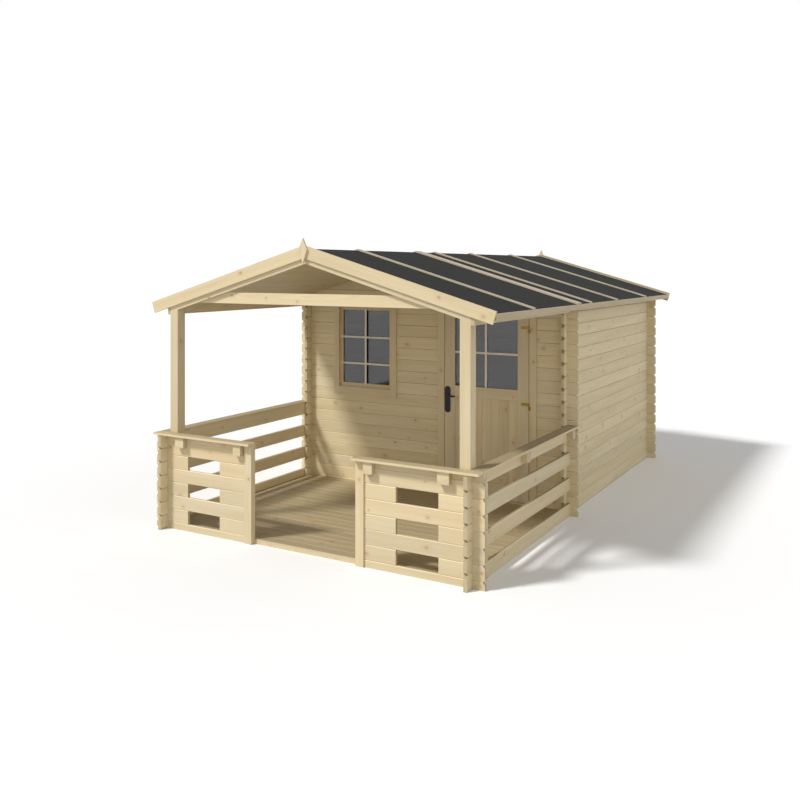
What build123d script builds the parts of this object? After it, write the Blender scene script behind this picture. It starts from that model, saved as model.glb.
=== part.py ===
from build123d import *
import math
import os

# Garden shed of interlocking logs with a roofed terrace in front. Millimetres, +Z up.
# X runs across the front, +Y runs from the terrace to the back, Z = 0 is the ground.
# Everything is drawn with Y = 0 at the outer face of the front rail, and moved back at the end
# so that the origin is in the middle of the footprint.

# Logs
PITCH = 115.0                 # height of one log course
LOG = 28.0                    # thickness of a log
STUB = 93.0                   # log ends beyond the face of the wall they cross
GROOVE = 4.0                  # depth of the V along each joint
GROOVE_HALF = 4.5             # half the height of that V
END_CUT = 18.0                # corner cut off each log end

# Plan
HALF_WIDTH = 1368.0           # centre line to the outer face of a side wall; the rails stand outside it
TERRACE = 2345.0              # outer face of the rail to the outer face of the shed's front wall
SHED = 3235.0                 # depth of the shed over its walls
SIDE_COURSES = 17             # logs in a side wall
RAIL_COURSES = 7              # logs in the terrace rail

# Roof
SLOPE = math.tan(math.radians(17.0))
EAVE_OVERHANG = 170.0         # roof boards beyond the outer face of a side wall
ROOF_SETBACK = 38.0           # front edge of the roof boards, behind the rail face
BACK_OVERHANG = 270.0         # roof boards beyond the back wall
ROOF_BOARD = 18.0
FELT = 3.0
RIDGE_BEAM_WIDTH = 45.0
RIDGE_BEAM_DEPTH = 90.0
RAFTER = 28.0
RAFTER_DEPTH = 96.0           # measured upright
TIE_BEAM = 28.0
TIE_DROP = 7.0                # underside of the tie beam, below the top of the side walls
TIE_DEPTH = 91.0

# Trim of the roof
TRIM = 18.0                   # thickness of fascias, eave strips, finials and casings
FASCIA_WIDTH = 97.0
FASCIA_RISE = 26.0            # fascia top above the felt at the ridge
FASCIA_PAST_EAVE = 7.0        # upper corner of a fascia's end, beyond the eave strip
EAVE_TRIM_DEPTH = 45.0
EAVE_JOINT_AHEAD = 238.0      # butt joint of the two lengths of eave strip, ahead of the shed wall
FINIAL_TOP = 54.0             # above the fascia's peak
FINIAL_WIDE = 33.0            # widest place, below the fascia's peak
FINIAL_BOTTOM = 143.0         # below the fascia's peak
FINIAL_HALF = 38.0
BATTEN_WIDTH = 40.0
BATTEN = 12.0
COVER_WIDTH = 125.0           # broad batten over the joint between the two roof lengths
TERRACE_BATTEN = 921.0        # middle of the batten over the terrace, behind the rail face
SHED_BATTENS = (179.0, 1120.0, 2377.0)        # middles of the battens behind the shed wall's face
COVER_AHEAD = 209.0           # middle of the broad batten, ahead of the shed wall's face

# Terrace rail
CUT_FROM_POST = 260.0         # entry post to the cut-outs of the front rail
CUT_FROM_SIDE = 225.0         # inner face of the side rail to those cut-outs
SPACER = 272.0                # short logs of the side rail, behind the front rail
ENTRY_HALF = 478.0            # half the opening between the entry posts
ENTRY_POST_WIDTH = 68.0
ENTRY_POST_DEPTH = 56.0
CAP = 18.0
CAP_WIDTH = 100.0
CAP_FRONT = 72.0              # cap ahead of the rail face
CAP_SIDE = 73.0               # cap beyond the outer face of the side rail
CAP_OVER_ENTRY = 10.0
BRACKET_WIDTH = 90.0
BRACKET_DEPTH = 52.0
POST_BRACKET_WIDTH = 74.0     # narrower bracket beside an entry post
BRACKET_FROM_POST = 16.0
BRACKET_HEIGHT = 92.0
BRACKET_FROM_SIDE = 124.0     # outer bracket of a front rail to the inner face of the side rail
SIDE_BRACKET_PLACE = 1012.0   # front edge of the side rail's first bracket
BRACKET_FROM_WALL = 15.0      # last bracket to the face of the shed's front wall

# Posts and floor
POST_WIDTH = 80.0
POST_DEPTH = 100.0
BEARER = 24.0
BEARER_WIDTH = 70.0
BEARER_BAYS = 3               # bays between bearers on each side of the centre line
FLOOR_BOARD = 19.0
BOARD_COVER = 112.0           # width that one floor board covers

# Window in the shed's front wall
WINDOW_CENTRE = -694.0
WINDOW_WIDTH = 646.0          # hole in the wall
WINDOW_SILL = 986.0
WINDOW_HEIGHT = 876.0
CASING_WIDTH = 60.0
CASING_BOTTOM = 77.0          # width of the casing's lower board
LINING = 25.0                 # box in the hole, flush with the inner edge of the casing
SASH_SIDE = 30.0              # sash between the lining and the glass
SASH_BOTTOM = 41.0
SASH_SETBACK = 18.0           # wall face to the front of the sash
SASH_BACK = 54.0              # wall face to the back of the sash
GLASS = 4.0
GLASS_SETBACK = 34.0          # wall face to the front of the window glass

# Door
DOORWAY_LEFT = 150.0
DOORWAY_WIDTH = 910.0
DOORWAY_COURSES = 16          # whole logs up to the doorway's head, over the half log at the foot
JAMB = 35.0
JAMB_DEPTH = 70.0
CASING_LAP = 30.0             # casing over the log wall
STOP = 10.0
LEAF = 40.0
LEAF_GAP = 5.0
SILL_RISE = 12.0
STILE = 104.0
TOP_RAIL = 98.0
MID_RAIL_BOTTOM = 1001.0
MID_RAIL = 105.0
BOTTOM_RAIL = 150.0
PANEL_SINK = 8.0
PANEL_BOARDS = 7
PANEL_GROOVE = 3.0

# Hinges and handle
HINGE_HEIGHT = 64.0
HINGE_INSET = 185.0           # leaf end to the middle of the outer hinges
HINGE_STRAP = 66.0            # strap on the leaf, beyond the knuckle
STRAP_HEIGHT = 26.0
FRAME_STRAP = 9.0             # strap on the casing, beyond the knuckle
HINGE_SHEET = 2.5
KNUCKLE = 6.0                 # radius
KNUCKLE_GAP = 1.0
PLATE_WIDTH = 56.0            # front handle plate
BACK_PLATE_WIDTH = 44.0       # back handle plate, clear of the stop
PLATE_BELOW = 165.0           # handle plate below the lever's middle
PLATE_HEIGHT = 255.0
PLATE = 6.0
LEVER_HEIGHT = 1005.0
LEVER_LENGTH = 84.0
LEVER_TIP = 8.0               # radius of the lever's rounded end
LEVER_NECK = 10.0             # radius
LEVER_STANDOFF = 45.0         # plate to the outside of the lever
LEVER_BAR = 10.0              # thickness
SPINDLE = 8.0
SPINDLE_BORE = 9.0            # radius of the hole in the leaf

# Worked out from the sizes above
FAR = 5000.0                  # beyond everything, for cutting solids
THROUGH = 1.0                 # cutters reach this far past the faces they cut
INNER = HALF_WIDTH - LOG
RAIL_INNER = HALF_WIDTH
RAIL_OUT = RAIL_INNER + LOG
RAIL_TIP = RAIL_OUT + STUB
WALL_FACE = TERRACE
BACK_FACE = WALL_FACE + SHED
WALL_TOP = SIDE_COURSES * PITCH
RAIL_TOP = RAIL_COURSES * PITCH
SIDE_OUT = HALF_WIDTH + STUB
ROOF_FRONT = ROOF_SETBACK
ROOF_BACK = BACK_FACE + BACK_OVERHANG
UPRIGHT = math.sqrt(1.0 + SLOPE * SLOPE)      # upright height of a thickness laid on the slope
EAVE_OUT = HALF_WIDTH + EAVE_OVERHANG
FASCIA_OUT = EAVE_OUT + TRIM + FASCIA_PAST_EAVE
TIE_BOTTOM = WALL_TOP - TIE_DROP
FLOOR_TOP = BEARER + FLOOR_BOARD
ORIGIN_Y = (ROOF_BACK + 2 * TRIM - STUB) / 2
BEHIND_RAFTER = ROOF_FRONT + RAFTER
DOORWAY_RIGHT = DOORWAY_LEFT + DOORWAY_WIDTH
DOORWAY_TOP = (DOORWAY_COURSES + 0.5) * PITCH
SILL_TOP = FLOOR_TOP + SILL_RISE
CASING_FACE = WALL_FACE - TRIM
LEAF_LEFT = DOORWAY_LEFT + JAMB + LEAF_GAP
LEAF_RIGHT = DOORWAY_RIGHT - JAMB - LEAF_GAP
LEAF_BOTTOM = SILL_TOP + LEAF_GAP
LEAF_TOP = DOORWAY_TOP - JAMB - LEAF_GAP
HINGE_X = LEAF_RIGHT + LEAF_GAP / 2
HINGE_Y = CASING_FACE - KNUCKLE
HINGE_HEIGHTS = (LEAF_BOTTOM + HINGE_INSET, (LEAF_BOTTOM + LEAF_TOP) / 2, LEAF_TOP - HINGE_INSET)
HANDLE_X = DOORWAY_LEFT + JAMB + STOP + LEAF_GAP + BACK_PLATE_WIDTH / 2


def under_roof(x):
    """Height of the underside of the roof boards at a distance x from the centre line."""
    return WALL_TOP + (HALF_WIDTH - abs(x)) * SLOPE


BOARD_TOP = ROOF_BOARD * UPRIGHT              # upright, above under_roof
FELT_TOP = BOARD_TOP + FELT * UPRIGHT
FASCIA_PEAK = under_roof(0) + FELT_TOP + FASCIA_RISE


def block(x0, x1, y0, y1, z0, z1):
    """Block between three pairs of limits."""
    return Pos((x0 + x1) / 2, (y0 + y1) / 2, (z0 + z1) / 2) * Box(x1 - x0, y1 - y0, z1 - z0)


def along_x(outline, x0, x1):
    """Solid with an outline of (y, z) points, from x0 to x1."""
    face = make_face(Polyline(*[(x0, y, z) for y, z in outline], close=True))
    return extrude(face, amount=x1 - x0, dir=(1, 0, 0))


def along_y(outline, y0, y1):
    """Solid with an outline of (x, z) points, from y0 to y1."""
    face = make_face(Polyline(*[(x, y0, z) for x, z in outline], close=True))
    return extrude(face, amount=y1 - y0, dir=(0, 1, 0))


def along_z(outline, z0, z1):
    """Solid with an outline of (x, y) points, from z0 to z1."""
    face = make_face(Polyline(*[(x, y, z0) for x, y in outline], close=True))
    return extrude(face, amount=z1 - z0, dir=(0, 0, 1))


def mirrored(solid):
    """The same piece on the other side of the centre line."""
    return mirror(solid, about=Plane.YZ)


def joints(first, top):
    """Heights of the log joints from the first one up, below the top."""
    count = math.ceil((top - first) / PITCH)
    return [first + i * PITCH for i in range(count)]


def log_section(face, back, top_at_face, top_at_back, heights):
    """Upright section of a log wall, with a V on both faces at every joint."""
    inward = GROOVE if back > face else -GROOVE
    up = [(face, 0.0)]
    down = []
    for z in heights:
        up += [(face, z - GROOVE_HALF), (face + inward, z), (face, z + GROOVE_HALF)]
        down = [(back, z + GROOVE_HALF), (back - inward, z), (back, z - GROOVE_HALF)] + down
    return up + [(face, top_at_face), (back, top_at_back)] + down + [(back, 0.0)]


def end_cuts(tip, inward, heights):
    """Outlines of the notches where two log ends meet: the corners are cut off."""
    cuts = []
    for z in heights:
        corner = tip + inward * END_CUT
        past = tip - inward * THROUGH
        cuts.append([(past, z - END_CUT - THROUGH), (past, z + END_CUT + THROUGH), (corner, z)])
    return cuts


def crossing_heights(first, top):
    """Bands that one wall gives up to the logs of the wall that it crosses."""
    bands = []
    z = first
    while z < top:
        bands.append((max(z - PITCH / 4, 0.0), z + PITCH / 4))
        z += PITCH
    return bands


def side_logs(start, end, courses, top_inner, cut_start, cut_end, crossings):
    """Stack of full logs along Y on the right side, joints at whole courses."""
    top = courses * PITCH
    heights = joints(PITCH, top)
    wall = along_y(log_section(HALF_WIDTH, INNER, top, top_inner, heights), start, end)
    cutters = []
    for tip, inward, used in ((start, 1, cut_start), (end, -1, cut_end)):
        for outline in end_cuts(tip, inward, used):
            cutters.append(along_x(outline, INNER - THROUGH, HALF_WIDTH + THROUGH))
    for face in crossings:
        for low, high in crossing_heights(0.0, top + PITCH / 4):
            cutters.append(block(INNER - THROUGH, HALF_WIDTH + THROUGH, face, face + LOG, low, high))
    return wall - cutters


def cross_logs(face, outline, top):
    """Stack of logs along X that starts with a half log, cut to an outline and notched for the side logs."""
    heights = joints(PITCH / 2, top)
    wall = along_x(log_section(face, face + LOG, top, top, heights), -SIDE_OUT, SIDE_OUT)
    wall = wall & along_y(outline, face - THROUGH, face + LOG + THROUGH)
    return wall - cross_cutters(face, heights, top)


def cross_cutters(face, heights, top):
    """Notches of a cross wall, on both sides: its end cuts and the seats of the side logs."""
    y0, y1 = face - THROUGH, face + LOG + THROUGH
    cutters = []
    for side in (-1, 1):
        for outline in end_cuts(side * SIDE_OUT, -side, heights):
            cutters.append(along_y(outline, y0, y1))
        inner, outer = sorted((side * INNER, side * HALF_WIDTH))
        for low, high in crossing_heights(PITCH / 2, top):
            if high <= WALL_TOP:
                cutters.append(block(inner, outer, y0, y1, low, high))
    return cutters


def gable_outline():
    """Outline of a gabled wall under the roof boards."""
    return [(-SIDE_OUT, 0), (SIDE_OUT, 0), (SIDE_OUT, under_roof(SIDE_OUT)), (0, under_roof(0)),
            (-SIDE_OUT, under_roof(SIDE_OUT))]


def ridge_beam_outline():
    half = RIDGE_BEAM_WIDTH / 2
    low = under_roof(0) - RIDGE_BEAM_DEPTH
    high = under_roof(half)
    return [(-half, low), (half, low), (half, high), (0, under_roof(0)), (-half, high)]


def gable_wall(face):
    """Whole gabled wall with the seat of the ridge beam."""
    wall = cross_logs(face, gable_outline(), under_roof(0))
    return wall - along_y(ridge_beam_outline(), face - THROUGH, face + LOG + THROUGH)


# Walls of the shed
def side_wall():
    """Right wall. The terrace rail and the eave purlin run along the outside of its front stubs."""
    heights = joints(PITCH, WALL_TOP)
    faces = (WALL_FACE, BACK_FACE - LOG)
    top = under_roof(INNER)
    return side_logs(WALL_FACE - STUB, BACK_FACE + STUB, SIDE_COURSES, top, heights, heights, faces)


def front_wall_pieces():
    """Front wall of the shed with its window hole, split beside and over the doorway."""
    y0, y1 = WALL_FACE - FAR, WALL_FACE + FAR
    window = block(WINDOW_CENTRE - WINDOW_WIDTH / 2, WINDOW_CENTRE + WINDOW_WIDTH / 2, y0, y1,
                   WINDOW_SILL, WINDOW_SILL + WINDOW_HEIGHT)
    wall = gable_wall(WALL_FACE) - window
    left = wall & block(-FAR, DOORWAY_LEFT, y0, y1, 0, DOORWAY_TOP)
    right = wall & block(DOORWAY_RIGHT, FAR, y0, y1, 0, DOORWAY_TOP)
    over = wall & block(-FAR, FAR, y0, y1, DOORWAY_TOP, FAR)
    return left, right, over


# Terrace rail
def side_rail():
    """Right rail: every second log runs to the shed's front wall, short logs fill the front corner."""
    heights = joints(PITCH, RAIL_TOP)
    rail = side_logs(-STUB, WALL_FACE, RAIL_COURSES, RAIL_TOP, heights, [], (0.0,))
    gaps = []
    for course in range(1, RAIL_COURSES, 2):
        gaps.append(block(INNER - THROUGH, HALF_WIDTH + THROUGH, LOG + SPACER, WALL_FACE + THROUGH,
                          course * PITCH, (course + 1) * PITCH))
    return Pos(RAIL_INNER - INNER, 0, 0) * (rail - gaps)


def front_rail():
    """Right half of the front rail with its three cut-outs."""
    heights = joints(PITCH / 2, RAIL_TOP)
    section = log_section(0.0, LOG, RAIL_TOP, RAIL_TOP, heights)
    post_side = ENTRY_HALF + ENTRY_POST_WIDTH
    rail = along_x(section, post_side, RAIL_TIP)
    cutters = [along_y(outline, -THROUGH, LOG + THROUGH) for outline in end_cuts(RAIL_TIP, -1, heights)]
    for low, high in crossing_heights(PITCH / 2, RAIL_TOP):
        cutters.append(block(RAIL_INNER, RAIL_OUT, -THROUGH, LOG + THROUGH, low, high))
    near, far = post_side + CUT_FROM_POST, RAIL_INNER - CUT_FROM_SIDE
    for course in range(0, RAIL_COURSES - 1, 2):
        low = (course + 0.5) * PITCH
        cutters.append(block(near, far, -THROUGH, LOG + THROUGH, low, low + PITCH))
    return rail - cutters


def entry_post():
    front = (LOG - ENTRY_POST_DEPTH) / 2
    return block(ENTRY_HALF, ENTRY_HALF + ENTRY_POST_WIDTH, front, front + ENTRY_POST_DEPTH, 0, RAIL_TOP)


def front_cap():
    return block(ENTRY_HALF - CAP_OVER_ENTRY, RAIL_OUT + CAP_SIDE, -CAP_FRONT, CAP_WIDTH - CAP_FRONT,
                 RAIL_TOP, RAIL_TOP + CAP)


def side_cap():
    outer = RAIL_OUT + CAP_SIDE
    return block(outer - CAP_WIDTH, outer, CAP_WIDTH - CAP_FRONT, WALL_FACE, RAIL_TOP, RAIL_TOP + CAP)


def cap_brackets():
    """Blocks under the caps: two on each front rail, two on each side rail."""
    low = RAIL_TOP - BRACKET_HEIGHT
    pieces = []
    near = ENTRY_HALF + ENTRY_POST_WIDTH + BRACKET_FROM_POST
    far = RAIL_INNER - BRACKET_FROM_SIDE
    for x0, x1 in ((near, near + POST_BRACKET_WIDTH), (far - BRACKET_WIDTH, far)):
        pieces.append(block(x0, x1, -BRACKET_DEPTH, 0, low, RAIL_TOP))
    for y in (SIDE_BRACKET_PLACE, WALL_FACE - BRACKET_FROM_WALL - BRACKET_WIDTH):
        pieces.append(block(RAIL_OUT, RAIL_OUT + BRACKET_DEPTH, y, y + BRACKET_WIDTH, low, RAIL_TOP))
    return Compound(pieces + [mirrored(piece) for piece in pieces])


# Frame of the terrace roof
def rafter():
    """Right front rafter from the ridge to the eave purlin, plumb at both ends."""
    high, low = under_roof(0), under_roof(RAIL_INNER)
    return along_y([(0, high - RAFTER_DEPTH), (RAIL_INNER, low - RAFTER_DEPTH), (RAIL_INNER, low), (0, high)],
                   ROOF_FRONT, BEHIND_RAFTER)


def tie_beam():
    """Beam behind the rafters, its ends cut to the roof."""
    top = TIE_BOTTOM + TIE_DEPTH
    reach = HALF_WIDTH - (top - WALL_TOP) / SLOPE
    end = RAIL_INNER
    return along_y([(-end, TIE_BOTTOM), (end, TIE_BOTTOM), (end, under_roof(end)), (reach, top),
                    (-reach, top), (-end, under_roof(end))], BEHIND_RAFTER, BEHIND_RAFTER + TIE_BEAM)


def corner_post():
    """Right post on the terrace floor, rebated at the top for the rafter."""
    inner, outer = RAIL_INNER - POST_WIDTH, RAIL_INNER
    whole = block(inner, outer, ROOF_FRONT, ROOF_FRONT + POST_DEPTH, FLOOR_TOP, TIE_BOTTOM)
    near, far = inner - THROUGH, outer + THROUGH
    seat = along_y([(near, under_roof(near) - RAFTER_DEPTH), (far, under_roof(far) - RAFTER_DEPTH),
                    (far, FAR), (near, FAR)], ROOF_FRONT - THROUGH, BEHIND_RAFTER)
    return whole - seat


def eave_purlin():
    """Log along the right eave of the terrace roof, over the rail, from the rafter's face to the shed."""
    low = WALL_TOP - PITCH
    return along_y([(RAIL_INNER, low), (RAIL_OUT, low), (RAIL_OUT, under_roof(RAIL_OUT)),
                    (RAIL_INNER, under_roof(RAIL_INNER))], ROOF_FRONT, WALL_FACE)


def ridge_beam():
    return along_y(ridge_beam_outline(), BEHIND_RAFTER, ROOF_BACK)


# Roof
def on_slope(low, high, x0, x1, y0, y1):
    """Right-hand slab between two heights above the underside of the roof."""
    return along_y([(x0, under_roof(x0) + low), (x1, under_roof(x1) + low), (x1, under_roof(x1) + high),
                    (x0, under_roof(x0) + high)], y0, y1)


def roof_boards():
    return on_slope(0.0, BOARD_TOP, 0.0, EAVE_OUT, ROOF_FRONT, ROOF_BACK)


def roof_felt():
    """One skin over both slopes."""
    outline = []
    for x in (-EAVE_OUT, 0.0, EAVE_OUT):
        outline.append((x, under_roof(x) + BOARD_TOP))
    for x in (EAVE_OUT, 0.0, -EAVE_OUT):
        outline.append((x, under_roof(x) + FELT_TOP))
    return along_y(outline, ROOF_FRONT, ROOF_BACK)


def roof_battens():
    """Battens from ridge to eave on the felt, with one broad one over the joint of the roof lengths."""
    high = FELT_TOP + BATTEN * UPRIGHT
    places = [(TERRACE_BATTEN, BATTEN_WIDTH), (WALL_FACE - COVER_AHEAD, COVER_WIDTH)]
    places += [(WALL_FACE + place, BATTEN_WIDTH) for place in SHED_BATTENS]
    pieces = []
    for place, width in places:
        slope = on_slope(FELT_TOP, high, 0.0, EAVE_OUT, place - width / 2, place + width / 2)
        pieces.append(slope + mirrored(slope))
    return pieces


def eave_trim():
    """Strip along the right eave in two lengths."""
    top = under_roof(EAVE_OUT) + FELT_TOP
    joint = WALL_FACE - EAVE_JOINT_AHEAD
    lengths = []
    for y0, y1 in ((ROOF_FRONT, joint), (joint, ROOF_BACK)):
        lengths.append(block(EAVE_OUT, EAVE_OUT + TRIM, y0, y1, top - EAVE_TRIM_DEPTH, top))
    return lengths


def fascia(y0, y1):
    """Right board of a gable's fascia: plumb at the peak, square at the lower end."""
    drop = FASCIA_WIDTH * UPRIGHT
    end_top = (FASCIA_OUT, FASCIA_PEAK - FASCIA_OUT * SLOPE)
    end_low = (end_top[0] - FASCIA_WIDTH * SLOPE / UPRIGHT, end_top[1] - FASCIA_WIDTH / UPRIGHT)
    return along_y([(0, FASCIA_PEAK - drop), end_low, end_top, (0, FASCIA_PEAK)], y0, y1)


def finial(y0):
    """Kite-shaped board over the joint of the fascias."""
    wide = FASCIA_PEAK - FINIAL_WIDE
    return along_y([(0, FASCIA_PEAK - FINIAL_BOTTOM), (FINIAL_HALF, wide), (0, FASCIA_PEAK + FINIAL_TOP),
                    (-FINIAL_HALF, wide)], y0, y0 + TRIM)


# Floors
def floor_boards(half, y0, y1):
    """Boards along X with a V at every joint of the upper face."""
    top = FLOOR_TOP
    outline = [(y0, BEARER), (y1, BEARER), (y1, top)]
    count = int((y1 - y0 - GROOVE_HALF) // BOARD_COVER)
    for i in range(count, 0, -1):
        y = y0 + i * BOARD_COVER
        outline += [(y + GROOVE / 2, top), (y, top - GROOVE / 2), (y - GROOVE / 2, top)]
    outline.append((y0, top))
    return along_x(outline, -half, half)


def floor_frame(half, y0, y1):
    """Bearers along Y between two end bearers."""
    spacing = (half - BEARER_WIDTH / 2) / BEARER_BAYS
    frame = block(-half, half, y0, y0 + BEARER_WIDTH, 0, BEARER)
    bearers = [block(-half, half, y1 - BEARER_WIDTH, y1, 0, BEARER)]
    for i in range(-BEARER_BAYS, BEARER_BAYS + 1):
        x = i * spacing
        bearers.append(block(x - BEARER_WIDTH / 2, x + BEARER_WIDTH / 2, y0, y1, 0, BEARER))
    return frame + bearers


TERRACE_AREA = (RAIL_INNER, LOG, WALL_FACE)
ROOM_AREA = (INNER, WALL_FACE + LOG, BACK_FACE - LOG)


def terrace_seats():
    """Room in the terrace floor for the entry posts and for the front stubs of the side walls."""
    right = [entry_post(), block(INNER, HALF_WIDTH, WALL_FACE - STUB, WALL_FACE, 0, FLOOR_TOP)]
    return right + [mirrored(piece) for piece in right]


# Window
def window_frame():
    """Casing on the wall's face, lining in the hole and the sash in it, without its thin bars."""
    x0, x1, z0, z1 = window_opening()
    casing = block(x0 - CASING_WIDTH, x1 + CASING_WIDTH, CASING_FACE, WALL_FACE,
                   z0 - CASING_BOTTOM, z1 + CASING_WIDTH)
    lining = block(x0 - LINING, x1 + LINING, WALL_FACE, WALL_FACE + SASH_BACK, z0 - LINING, z1 + LINING)
    frame = casing + lining - block(x0, x1, CASING_FACE - FAR, WALL_FACE + SASH_SETBACK, z0, z1)
    glass_x0, glass_x1, glass_z0, glass_z1 = window_light()
    return frame - block(glass_x0, glass_x1, CASING_FACE - FAR, WALL_FACE + FAR, glass_z0, glass_z1)


def window_opening():
    """Inner edges of the lining: left, right, bottom, top."""
    return (WINDOW_CENTRE - WINDOW_WIDTH / 2 + LINING, WINDOW_CENTRE + WINDOW_WIDTH / 2 - LINING,
            WINDOW_SILL + LINING, WINDOW_SILL + WINDOW_HEIGHT - LINING)


def window_light():
    """Edges of the glass: left, right, bottom, top."""
    x0, x1, z0, z1 = window_opening()
    return x0 + SASH_SIDE, x1 - SASH_SIDE, z0 + SASH_BOTTOM, z1 - SASH_SIDE


def window_glass():
    x0, x1, z0, z1 = window_light()
    return block(x0, x1, WALL_FACE + GLASS_SETBACK, WALL_FACE + GLASS_SETBACK + GLASS, z0, z1)


# Door
def door_jamb():
    """Right jamb: casing over the logs, lining in the wall and a stop behind the leaf."""
    edge = DOORWAY_RIGHT
    inner = edge - JAMB
    stop_face = CASING_FACE + LEAF + LEAF_GAP
    back = CASING_FACE + JAMB_DEPTH
    return along_z([(inner, CASING_FACE), (edge + CASING_LAP, CASING_FACE), (edge + CASING_LAP, WALL_FACE),
                    (edge, WALL_FACE), (edge, back), (inner - STOP, back), (inner - STOP, stop_face),
                    (inner, stop_face)], FLOOR_TOP, DOORWAY_TOP)


def stop_corners(low, high):
    """Blocks that the jambs' stops fill, between two heights."""
    front = CASING_FACE + LEAF + LEAF_GAP
    back = CASING_FACE + JAMB_DEPTH + THROUGH
    left, right = DOORWAY_LEFT + JAMB, DOORWAY_RIGHT - JAMB
    return [block(x, x + STOP, front, back, low, high) for x in (left, right - STOP)]


def door_head():
    """Head of the frame between the jambs, with a casing across the top."""
    low = DOORWAY_TOP - JAMB
    stop_face = CASING_FACE + LEAF + LEAF_GAP
    back = CASING_FACE + JAMB_DEPTH
    section = [(CASING_FACE, low), (stop_face, low), (stop_face, low - STOP), (back, low - STOP),
               (back, DOORWAY_TOP), (CASING_FACE, DOORWAY_TOP)]
    lining = along_x(section, DOORWAY_LEFT + JAMB, DOORWAY_RIGHT - JAMB)
    lining -= stop_corners(low - STOP - THROUGH, DOORWAY_TOP + THROUGH)
    casing = block(DOORWAY_LEFT - CASING_LAP, DOORWAY_RIGHT + CASING_LAP, CASING_FACE, WALL_FACE,
                   DOORWAY_TOP, DOORWAY_TOP + CASING_LAP)
    return lining + casing


def door_sill():
    """Threshold: fills the wall under the door and laps both floors between the jambs."""
    lower = block(DOORWAY_LEFT, DOORWAY_RIGHT, WALL_FACE, WALL_FACE + LOG, 0, FLOOR_TOP)
    plank = block(DOORWAY_LEFT + JAMB, DOORWAY_RIGHT - JAMB, CASING_FACE, CASING_FACE + JAMB_DEPTH,
                  FLOOR_TOP, SILL_TOP)
    return lower + plank - stop_corners(FLOOR_TOP, SILL_TOP + THROUGH)


def door_light():
    """Edges of the door's glass: left, right, bottom, top."""
    return LEAF_LEFT + STILE, LEAF_RIGHT - STILE, MID_RAIL_BOTTOM + MID_RAIL, LEAF_TOP - TOP_RAIL


def door_leaf():
    """Leaf with a glazed upper part and sunk upright boards below."""
    x0, x1, z0, z1 = door_light()
    leaf = block(LEAF_LEFT, LEAF_RIGHT, CASING_FACE, CASING_FACE + LEAF, LEAF_BOTTOM, LEAF_TOP)
    low = LEAF_BOTTOM + BOTTOM_RAIL
    cutters = [block(x0, x1, CASING_FACE - THROUGH, CASING_FACE + LEAF + THROUGH, z0, z1)]
    sunk_front = CASING_FACE + PANEL_SINK
    sunk_back = CASING_FACE + LEAF - PANEL_SINK
    cutters.append(block(x0, x1, CASING_FACE - THROUGH, sunk_front, low, MID_RAIL_BOTTOM))
    cutters.append(block(x0, x1, sunk_back, CASING_FACE + LEAF + THROUGH, low, MID_RAIL_BOTTOM))
    board = (x1 - x0) / PANEL_BOARDS
    for i in range(1, PANEL_BOARDS):
        x = x0 + i * board
        for face, inward in ((sunk_front, 1), (sunk_back, -1)):
            outside = face - inward * THROUGH
            spread = PANEL_GROOVE + THROUGH
            outline = [(x - spread, outside), (x + spread, outside), (x, face + inward * PANEL_GROOVE)]
            cutters.append(along_z(outline, low, MID_RAIL_BOTTOM))
    cutters.append(bar_y(SPINDLE_BORE, CASING_FACE - THROUGH, CASING_FACE + LEAF + THROUGH))
    return leaf - cutters


def door_glass():
    x0, x1, z0, z1 = door_light()
    y = CASING_FACE + (LEAF - GLASS) / 2
    return block(x0, x1, y, y + GLASS, z0, z1)


def bar_y(radius, y0, y1):
    """Round bar along Y at the handle's centre."""
    middle = Pos(HANDLE_X, (y0 + y1) / 2, LEVER_HEIGHT)
    return middle * Rot(90, 0, 0) * Cylinder(radius, y1 - y0)


def door_plates():
    """Long handle plates on both faces of the leaf, with a round hole for the lever's neck."""
    pieces = []
    low = LEVER_HEIGHT - PLATE_BELOW
    for y0, width in ((CASING_FACE - PLATE, PLATE_WIDTH), (CASING_FACE + LEAF, BACK_PLATE_WIDTH)):
        plate = block(HANDLE_X - width / 2, HANDLE_X + width / 2, y0, y0 + PLATE, low, low + PLATE_HEIGHT)
        plate = fillet(plate.edges().filter_by(Axis.Y), width / 2 - THROUGH)
        pieces.append(plate - bar_y(LEVER_NECK + LEAF_GAP / 2, y0 - THROUGH, y0 + PLATE + THROUGH))
    return pieces


def door_lever():
    """Levers on both faces, joined by the square spindle through the leaf."""
    front = CASING_FACE - PLATE
    back = CASING_FACE + LEAF + PLATE
    half = SPINDLE / 2
    lever = block(HANDLE_X - half, HANDLE_X + half, front - THROUGH, back + THROUGH,
                  LEVER_HEIGHT - half, LEVER_HEIGHT + half)
    for face, outward in ((front, -1), (back, 1)):
        outside = face + outward * LEVER_STANDOFF
        inside = outside - outward * LEVER_BAR
        y0, y1 = sorted((inside, outside))
        inner_end = face - outward * PLATE
        neck = bar_y(LEVER_NECK, min(inner_end, outside), max(inner_end, outside))
        tip = Pos(LEVER_LENGTH, 0, 0) * bar_y(LEVER_TIP, y0, y1)
        end = HANDLE_X + LEVER_LENGTH
        bar = along_y([(HANDLE_X, LEVER_HEIGHT - LEVER_NECK), (end, LEVER_HEIGHT - LEVER_TIP),
                       (end, LEVER_HEIGHT + LEVER_TIP), (HANDLE_X, LEVER_HEIGHT + LEVER_NECK)], y0, y1)
        lever += [neck, bar, tip]
    return lever


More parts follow.
